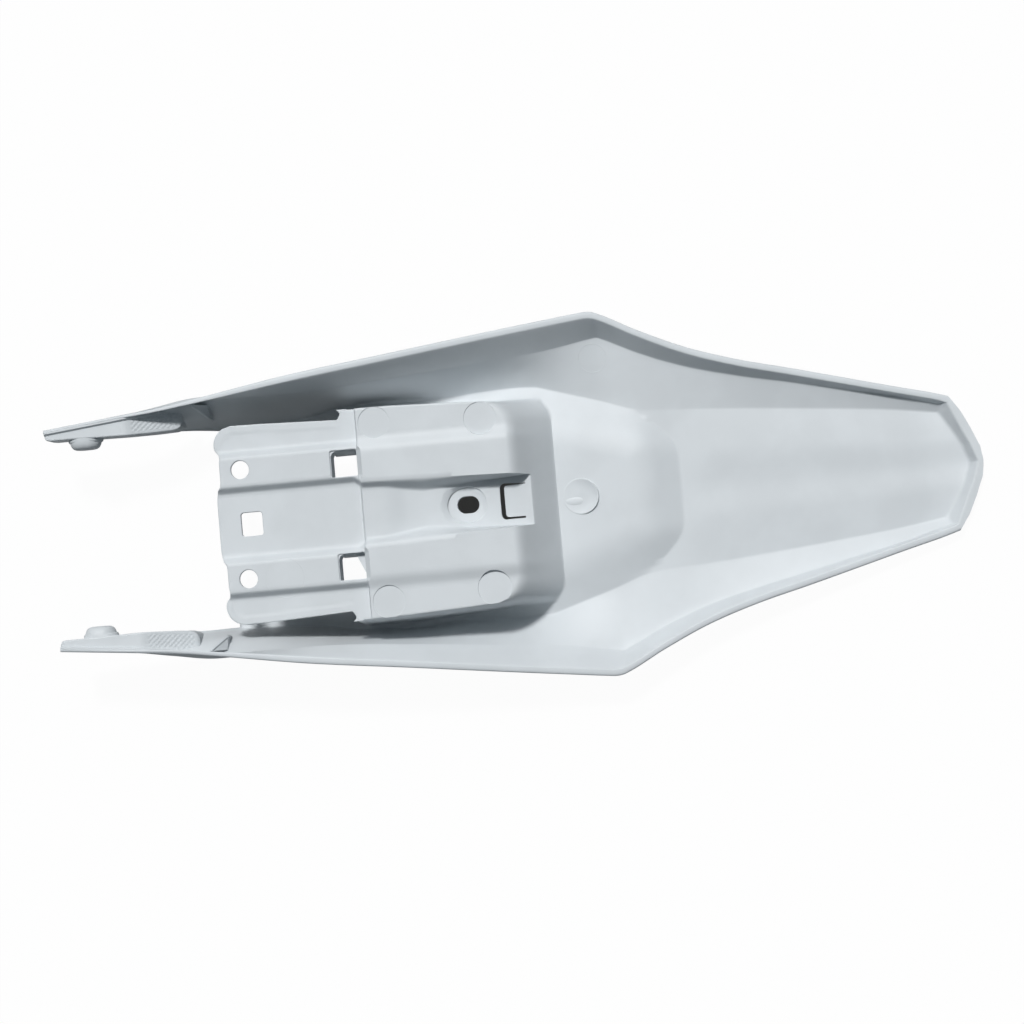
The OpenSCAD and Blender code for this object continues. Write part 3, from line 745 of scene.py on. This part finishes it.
def grain_group():
    """Fine moulded grain with slow unevenness: two noises on Object coordinates give a height, a small
    change of colour and a small change of gloss."""
    name = "Moulded Grain"
    if name in bpy.data.node_groups:
        return bpy.data.node_groups[name]
    g = bpy.data.node_groups.new(name, "ShaderNodeTree")
    socket(g, "Vector", "NodeSocketVector")
    socket(g, "Fine Scale", "NodeSocketFloat", default=1400.0)
    socket(g, "Slow Scale", "NodeSocketFloat", default=26.0)
    socket(g, "Height", "NodeSocketFloat", way="OUTPUT")
    socket(g, "Slow", "NodeSocketFloat", way="OUTPUT")
    i, o = g.nodes.new("NodeGroupInput"), g.nodes.new("NodeGroupOutput")
    for scale, out, detail in (("Fine Scale", "Height", 2.0), ("Slow Scale", "Slow", 3.0)):
        n = g.nodes.new("ShaderNodeTexNoise")
        n.inputs["Detail"].default_value = detail
        g.links.new(i.outputs["Vector"], n.inputs["Vector"])
        g.links.new(i.outputs[scale], n.inputs["Scale"])
        g.links.new(n.outputs["Fac"], o.inputs[out])
    return g


def placed_group(tree, group, vector, values):
    """A group node on the vector, with its own values."""
    n = tree.nodes.new("ShaderNodeGroup")
    n.node_tree = group
    tree.links.new(vector, n.inputs["Vector"])
    for name, value in values.items():
        n.inputs[name].default_value = value
    return n


def plastic_material():
    """White moulded plastic, built once: slightly uneven colour and gloss, a fine grain, and the pins'
    round marks as bump."""
    name = "White Plastic"
    if name in bpy.data.materials:
        return bpy.data.materials[name]
    finish = bpy.context.scene.fender_finish
    m = bpy.data.materials.new(name)
    m.use_nodes = True
    t = m.node_tree
    bsdf = t.nodes["Principled BSDF"]
    where = t.nodes.new("ShaderNodeTexCoord").outputs["Object"]
    g = placed_group(t, grain_group(), where, {})
    dark, light = [[min(1, c * spread) for c in finish.colour] + [1] for spread in COLOUR_SPREAD]
    colour = mix_colours(t, smooth_step(t, g.outputs["Slow"], 0.35, 0.65), dark, light)
    t.links.new(colour, bsdf.inputs["Base Color"])
    rough = math_node(t, "MULTIPLY_ADD", g.outputs["Slow"], ROUGHNESS_SPREAD,
                      finish.roughness - ROUGHNESS_SPREAD / 2)
    height = math_node(t, "MULTIPLY", g.outputs["Height"], GRAIN_HEIGHT)
    for x, y, r, strength in PIN_MARKS:
        n = placed_group(t, ring_mark_group(), where, {"X": x, "Y": y, "Radius": r})
        height = math_node(t, "MULTIPLY_ADD", n.outputs["Rim"], RIM_HEIGHT * strength, height)
        height = math_node(t, "MULTIPLY_ADD", n.outputs["Disc"], DISC_HEIGHT * strength, height)
    t.links.new(rough, bsdf.inputs["Roughness"])
    bump = t.nodes.new("ShaderNodeBump")
    bump.inputs["Strength"].default_value = 1.0
    bump.inputs["Distance"].default_value = 1.0
    t.links.new(height, bump.inputs["Height"])
    t.links.new(bump.outputs["Normal"], bsdf.inputs["Normal"])
    bsdf.inputs["IOR"].default_value = PLASTIC_IOR
    bsdf.inputs["Specular IOR Level"].default_value = PLASTIC_SPECULAR
    return m


# Sizes and colours that a user would change


class FenderShape(bpy.types.PropertyGroup):
    skin: FloatProperty(name="Skin", description="Thickness of the moulded skin", default=0.0026,
                        min=0.002, max=0.0035, unit="LENGTH")
    hole_radius: FloatProperty(name="Hole radius", description="Radius of the two round tray holes",
                               default=0.007, min=0.005, max=0.008, unit="LENGTH")
    seat_radius: FloatProperty(name="Seat radius", description="Radius of the washer seat",
                               default=0.0134, min=0.011, max=0.015, unit="LENGTH")
    slit: FloatProperty(name="Slit", description="Width of the slit round the small tongue",
                        default=0.0023, min=0.0015, max=0.003, unit="LENGTH")
    peg_radius: FloatProperty(name="Peg radius", description="Radius of the pegs on the arms",
                              default=0.009, min=0.006, max=0.010, unit="LENGTH")


class FenderFinish(bpy.types.PropertyGroup):
    colour: FloatVectorProperty(name="Colour", description="Colour of the plastic", subtype="COLOR",
                                size=3, min=0, max=1, default=(0.635, 0.668, 0.690))
    roughness: FloatProperty(name="Roughness", description="Roughness of the plastic", default=0.5,
                             min=0.1, max=0.9, subtype="FACTOR")


class FenderStage(bpy.types.PropertyGroup):
    key: FloatProperty(name="Key light", description="Strength of the light from the side", default=2.62,
                       min=0)
    top: FloatProperty(name="Top light", description="Strength of the soft light from above", default=0.42,
                       min=0)
    world: FloatProperty(name="Surround", description="Strength of the even light all round",
                         default=0.12, min=0)


# Pieces


class FENDER_OT_skin(bpy.types.Operator):
    """Build the fender's skin with its holes"""

    bl_idname = "fender.skin"
    bl_label = "Skin"

    def execute(self, context):
        shape = context.scene.fender_shape
        grid, keep, share = underside()
        skin = mesh_object("fender_skin", *closed_shell(grid, keep, share * shape.skin / MM))
        r = shape.hole_radius / MM
        top = TRAY_Z - STEP_DROP
        x, y = ROUND_HOLE
        holes = [hole_cutter((x, s * y), r, r, r - 0.01, HOLE_LOW, top) for s in (-1, 1)]
        holes.append(hole_cutter((FRONT_HOLE_X, 0), *FRONT_HOLE, FRONT_HOLE_R, HOLE_LOW, top - FLUTE))
        holes += [hole_cutter((STEP_HOLE_X, s * SQUARE_Y), STEP_HOLE, STEP_HOLE, STEP_HOLE_R,
                              top - STEP_HOLE_DEPTH, top) for s in (-1, 1)]
        cut_out(skin, joined("holes", holes))
        pins = []
        for x, y, r in PIN_DISCS:
            o = round_outline(r, r, r - 0.01, 14)
            pins.append(stack_of_rings([ring_at(o * (1 + (z - PIN_Z) * PIN_FLARE), z, (x, y))
                                        for z in (TRAY_Z - REAR_FLUTE - PIN_DEPTH, TRAY_Z + ABOVE)]))
        cut_out(skin, joined("pins", pins))
        seat = shape.seat_radius / MM
        cone = []
        for z in (SEAT_Z, SEAT_Z + 8):
            o = round_outline(seat, seat, seat - 0.01, 24) * (1 + SEAT_FLARE * (z - SEAT_Z) / seat)
            o[:, 1] = np.clip(o[:, 1], -SEAT_Y, SEAT_Y)
            cone.append(ring_at(o, z, (SLOT_X, 0)))
        cut_out(skin, joined("seat", [stack_of_rings(cone)]))
        cut_out(skin, joined("slot", [slot_cutter(SEAT_Z), slit_cutter(shape.slit / MM)]))
        finish_piece(skin)
        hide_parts("rear_fender")
        return {"FINISHED"}


class FENDER_OT_seat(bpy.types.Operator):
    """Build the washer seat's boss, and the walls that hang below the square holes at the step"""

    bl_idname = "fender.seat"
    bl_label = "Washer seat and cheeks"

    def execute(self, context):
        r = context.scene.fender_shape.seat_radius / MM + BOSS_WALL
        o = round_outline(r, r, r - 0.01)
        rings = [ring_at(o, z, (SLOT_X, 0)) for z in (SEAT_Z - BOSS, SEAT_Z - BOSS_GAP)]
        seat = joined("washer_seat", [stack_of_rings(rings)])
        cut_out(seat, joined("slot", [slot_cutter(SEAT_Z - BOSS_GAP)]))
        finish_piece(seat)
        top = TRAY_Z - STEP_DROP
        wall, front, end = HOLE_REAR_X, HOLE_FRONT_X, HOLE_REAR_X + RIB
        solids = []
        for s in (-1, 1):
            at = (0, s * SQUARE_Y)
            rings = []
            for depth, inner in CHEEK_RINGS:
                o = np.array([(front, -CHEEK_Y), (end, -CHEEK_Y), (end, CHEEK_Y), (front, CHEEK_Y),
                              (front, inner), (wall, inner), (wall, -CHEEK_PLAIN_Y),
                              (front, -CHEEK_PLAIN_Y)])
                rings.append(ring_at(o, top - depth, at))
            solids.append(stack_of_rings(rings))
            solids.append(stack_of_rings([ring_at(np.array(FRONT_WALL) + (front, 0), top - depth, at)
                                          for depth in WALL_DEPTHS]))
        solids.append(stack_of_rings([ring_at(np.array(WEB) + (wall, 0), top - depth, (0, -SQUARE_Y))
                                      for depth in WEB_DEPTHS]))
        finish_piece(joined("hole_cheeks", solids))
        return {"FINISHED"}


def bar_rings():
    """Closed outlines of an arm bar along X, in Y and Z: foot, inner side, rounded inner edge, top, a
    slope up to the lip, and outer side. The top is level at the tip and falls towards the tray; its rear
    part carries small raised dots in staggered rows, cos u + cos v on axes turned by 45 degrees."""
    x = np.concatenate([[TIP_X, -355.0, -354.4, -353.4, -352],
                        np.linspace(-350, BAR_GRIP[0], 24, endpoint=False), np.linspace(*BAR_GRIP, 78),
                        [-254.4, -253.8, -253.2, -252.8, -252.4, BAR_END_X]])[:, None]
    inner, outer = BAR_Y + straight(x, BAR_INNER), straight(x, BAR_OUTER)
    top = BAR_TOP_Z - BAR_FALL * np.maximum(0, x - BAR_FALL_X) / (BAR_END_X - BAR_FALL_X)
    ends = np.minimum(soft(TIP_X - 0.2, TIP_X + 1.6, x), soft(BAR_END_X + 0.2, BAR_END_X - 1.6, x))
    r = BAR_R
    top = top - r * (1 - ends)
    t = np.linspace(0, math.pi / 2, 6)[None, :]
    flat = mix(inner + r, outer - 2.4, np.linspace(0, 1, 42)[None, 1:])
    y = np.concatenate([inner, inner + r - r * np.cos(t), flat, outer - 1.2, outer + 0.2, outer + 0.2],
                       axis=1)
    u, v = (x + flat) / DOT_PITCH, (x - flat) / DOT_PITCH
    inside = soft(0, 1.2, x - BAR_GRIP[0]) * soft(0, 1.2, BAR_GRIP[1] - x)
    inside = inside * soft(0, 1, flat - inner - r - 0.6)
    dots = DOT_HEIGHT * inside * (np.cos(2 * math.pi * u) + np.cos(2 * math.pi * v))
    rise = 1.9 * soft(-250, -300, x) + 0.2
    foot = top - BAR_DEPTH
    z = np.concatenate([foot, top - r + r * np.sin(t), top + dots, top + rise, top + rise, foot], axis=1)
    return stacked(x, y, z)


class FENDER_OT_arms(bpy.types.Operator):
    """Build the bars, the gussets with their feet, and the horns of the tray box"""

    bl_idname = "fender.arms"
    bl_label = "Arm bars, gussets and horns"

    def execute(self, context):
        side = np.array(GUSSET)
        a = math.radians(GUSSET_TURN)
        along = side[:, :1] * (math.cos(a), math.sin(a))
        gusset = [ring_at(along + GUSSET_FOOT, side[:, 1], (w * -math.sin(a), w * math.cos(a)))
                  for w in (RIB / 2, -RIB / 2)]
        foot = along[[0, -2]] + GUSSET_FOOT
        wedge = np.array([foot[0], foot[1], (foot[1][0], foot[0][1])])
        wedge = [ring_at(wedge, z) for z in WEDGE_Z]
        z = TRAY_Z - STEP_DROP - FLUTE
        horn = [ring_at(np.array(HORN), h) for h in (z - HORN_DEPTH, z - HORN_GAP)]
        for name, rings in (("arm_bars", bar_rings()[::-1]), ("gussets", gusset), ("gusset_feet", wedge),
                            ("tray_horns", horn)):
            obj = joined(name, both_sides(rings))
            if name in ("gussets", "tray_horns"):
                bevel = obj.modifiers.new("Round", "BEVEL")
                bevel.width, bevel.segments, bevel.limit_method = BEVEL * MM, 3, "ANGLE"
            finish_piece(obj)
        return {"FINISHED"}


class FENDER_OT_mark(bpy.types.Operator):
    """Build the round mark on the plateau: a shallow disc that stands proud at its rear, and a nub"""

    bl_idname = "fender.mark"
    bl_label = "Round mark"

    def execute(self, context):
        solids = []
        t = np.linspace(0, 2 * math.pi, 72, endpoint=False)
        for at, half_x, half_y, lift, rings in (MARK, NUB):
            out = []
            for size, height, share in rings:
                x, y = at[0] + half_x * size * np.cos(t), at[1] + half_y * size * np.sin(t)
                rise = height + lift * share * soft(-0.5, 1, np.cos(t)) * (0.4 + 0.6 * size)
                out.append(stacked(x, y, base_height(x, np.abs(y)) + rise))
            solids.append(stack_of_rings(out))
        finish_piece(joined("round_mark", solids))
        return {"FINISHED"}


class FENDER_OT_pegs(bpy.types.Operator):
    """Build the pegs on the arms, each on its foot"""

    bl_idname = "fender.pegs"
    bl_label = "Pegs"

    def execute(self, context):
        r = context.scene.fender_shape.peg_radius / MM
        solids = []
        for s in (1, -1):
            for at, half_x, half_z, profile in ((FOOT_X, *FOOT_HALF, FOOT_PROFILE),
                                                (PEG_X, r, r - 2.0, PEG_PROFILE)):
                rings = []
                for reach, shrink in profile:
                    o = round_outline(half_x - shrink, half_z - shrink, half_z - shrink - 0.01)
                    o = o[::-1] if s > 0 else o
                    y = s * (BAR_Y - reach)
                    rings.append(np.stack([o[:, 0] + at, np.full(len(o), y), o[:, 1] + PEG_Z], axis=-1))
                solids.append(stack_of_rings(rings))
        finish_piece(joined("pegs", solids))
        return {"FINISHED"}


# Stage: half size and height of the floor in millimetres, and in metres its painted shade, a dark patch
# below the pocket that stands in for the fender's shade on the floor. Then share and strength of the floor's
# own light, share that the painted shade takes from it, and greys of the paper and of the painted shade.
FLOOR_SIZE, FLOOR_LEVEL = 4000, -0.4
PAINTED_SHADE_PATCH = {"X": -0.020, "Y": 0.001, "Radius": 0.043, "Line": 0.006}
PAPER_LIGHT, PAPER_STRENGTH, PAINTED_SHADE_SHARE = 0.94, 1.03, 0.975
PAPER_GREY, PAINTED_SHADE_GREY = (0.4, 0.4, 0.4, 1), (0.2, 0.2, 0.18, 1)
SURROUND_COLOUR = (0.76, 0.90, 1, 1)
# Lights: name, the property with the strength, the way towards the light, and the angle that it fills, in
# radians.
LIGHTS = (("Key light", "key", (-0.09, 0.56, 1), 0.14), ("Top light", "top", (-0.2, 0.75, 1), 1.0))
# The camera's place in metres, and its own axes: right, up, and back towards the viewer. Sensor width and
# focal length are in millimetres.
CAMERA_PLACE = (0.15617, -0.09177, 1.98853)
CAMERA_RIGHT = (0.99249, -0.08673, -0.08621)
CAMERA_UP = (0.09004, 0.99531, 0.03528)
CAMERA_BACK = (0.08275, -0.04278, 0.99565)
SENSOR, FOCAL_LENGTH = 36.0, 90.0


def paper_material():
    """White paper: grey to the light, white by its own light to the camera, with painted shade in a dark
    patch below the pocket, where the paper's own light would hide the fender's shade, and clear from below."""
    m = bpy.data.materials.new("Paper")
    m.use_nodes = True
    t = m.node_tree
    t.nodes.clear()
    out = t.nodes.new("ShaderNodeOutputMaterial")
    where = t.nodes.new("ShaderNodeTexCoord").outputs["Object"]
    # Painted shade: the floor below the pocket is made dark, so the slot and the slit show shade.
    painted_shade = placed_group(t, ring_mark_group(), where, PAINTED_SHADE_PATCH).outputs["Disc"]
    paper = t.nodes.new("ShaderNodeBsdfDiffuse")
    t.links.new(mix_colours(t, painted_shade, PAPER_GREY, PAINTED_SHADE_GREY), paper.inputs["Color"])
    bare = math_node(t, "MULTIPLY_ADD", painted_shade, -PAINTED_SHADE_SHARE, 1.0)
    seen = t.nodes.new("ShaderNodeLightPath").outputs["Is Camera Ray"]
    lit = math_node(t, "MULTIPLY", math_node(t, "MULTIPLY", seen, PAPER_LIGHT), bare)
    white = plain_shader(t, "ShaderNodeEmission", Strength=PAPER_STRENGTH)
    behind = t.nodes.new("ShaderNodeNewGeometry").outputs["Backfacing"]
    clear = plain_shader(t, "ShaderNodeBsdfTransparent")
    surface = mix_shaders(t, behind, mix_shaders(t, lit, paper.outputs[0], white), clear)
    t.links.new(surface, out.inputs["Surface"])
    return m


def surround(strength):
    """World that lights the fender evenly with a pale blue and is white to the camera."""
    world = bpy.data.worlds.new("Surround")
    world.use_nodes = True
    t = world.node_tree
    t.nodes.remove(t.nodes["Background"])
    sky = plain_shader(t, "ShaderNodeBackground", Color=SURROUND_COLOUR, Strength=strength)
    plain = plain_shader(t, "ShaderNodeBackground", Color=(1, 1, 1, 1))
    seen = t.nodes.new("ShaderNodeLightPath").outputs["Is Camera Ray"]
    t.links.new(mix_shaders(t, seen, sky, plain), t.nodes["World Output"].inputs["Surface"])
    return world


def photo_camera():
    """Camera at the photograph's place and turn."""
    lens = bpy.data.cameras.new("Camera")
    lens.sensor_width, lens.lens = SENSOR, FOCAL_LENGTH
    lens.clip_start, lens.clip_end = 0.05, 20
    camera = bpy.data.objects.new("Camera", lens)
    turn = Matrix([Vector(v) for v in (CAMERA_RIGHT, CAMERA_UP, CAMERA_BACK)]).transposed().to_4x4()
    camera.matrix_world = Matrix.Translation(Vector(CAMERA_PLACE)) @ turn
    return camera


class FENDER_OT_stage(bpy.types.Operator):
    """Build the floor, the lights, the surround and the camera"""

    bl_idname = "fender.stage"
    bl_label = "Stage"

    def execute(self, context):
        stage = context.scene.fender_stage
        corners = ((-1, -1), (1, -1), (1, 1), (-1, 1))
        floor = mesh_object("floor", [(x * FLOOR_SIZE, y * FLOOR_SIZE, FLOOR_LEVEL) for x, y in corners],
                            [(0, 1, 2, 3)], smooth=False)
        floor.data.materials.append(paper_material())
        scene = context.scene
        scene.world = surround(stage.world)
        for name, strength, way, angle in LIGHTS:
            lamp = bpy.data.lights.new(name, "SUN")
            lamp.energy, lamp.angle = getattr(stage, strength), angle
            light = bpy.data.objects.new(name, lamp)
            light.rotation_euler = Vector(way).to_track_quat("Z", "Y").to_euler()
            scene.collection.objects.link(light)
        scene.camera = photo_camera()
        scene.collection.objects.link(scene.camera)
        scene.view_settings.view_transform = "Standard"
        return {"FINISHED"}


class FENDER_PT_panel(bpy.types.Panel):
    """Lists the fender's pieces"""

    bl_idname = "FENDER_PT_panel"
    bl_label = "Rear Fender"
    bl_space_type = "VIEW_3D"
    bl_region_type = "UI"
    bl_category = "Fender"

    def draw(self, context):
        scene = context.scene
        for group in (scene.fender_shape, scene.fender_finish, scene.fender_stage):
            for name in group.__annotations__:
                self.layout.prop(group, name)
        for op in OPERATORS:
            self.layout.operator(op.bl_idname)


GROUPS = (("fender_shape", FenderShape), ("fender_finish", FenderFinish), ("fender_stage", FenderStage))
OPERATORS = (FENDER_OT_skin, FENDER_OT_seat, FENDER_OT_arms, FENDER_OT_mark, FENDER_OT_pegs,
             FENDER_OT_stage)


def register():
    for name, group in GROUPS:
        bpy.utils.register_class(group)
        setattr(bpy.types.Scene, name, PointerProperty(type=group))
    for cls in OPERATORS + (FENDER_PT_panel,):
        bpy.utils.register_class(cls)


def unregister():
    for cls in (FENDER_PT_panel,) + OPERATORS[::-1]:
        bpy.utils.unregister_class(cls)
    for name, group in GROUPS[::-1]:
        delattr(bpy.types.Scene, name)
        bpy.utils.unregister_class(group)


def main():
    """Registers the classes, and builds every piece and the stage."""
    register()
    bpy.ops.fender.skin()
    bpy.ops.fender.seat()
    bpy.ops.fender.arms()
    bpy.ops.fender.mark()
    bpy.ops.fender.pegs()
    bpy.ops.fender.stage()


if __name__ == "__main__":
    main()
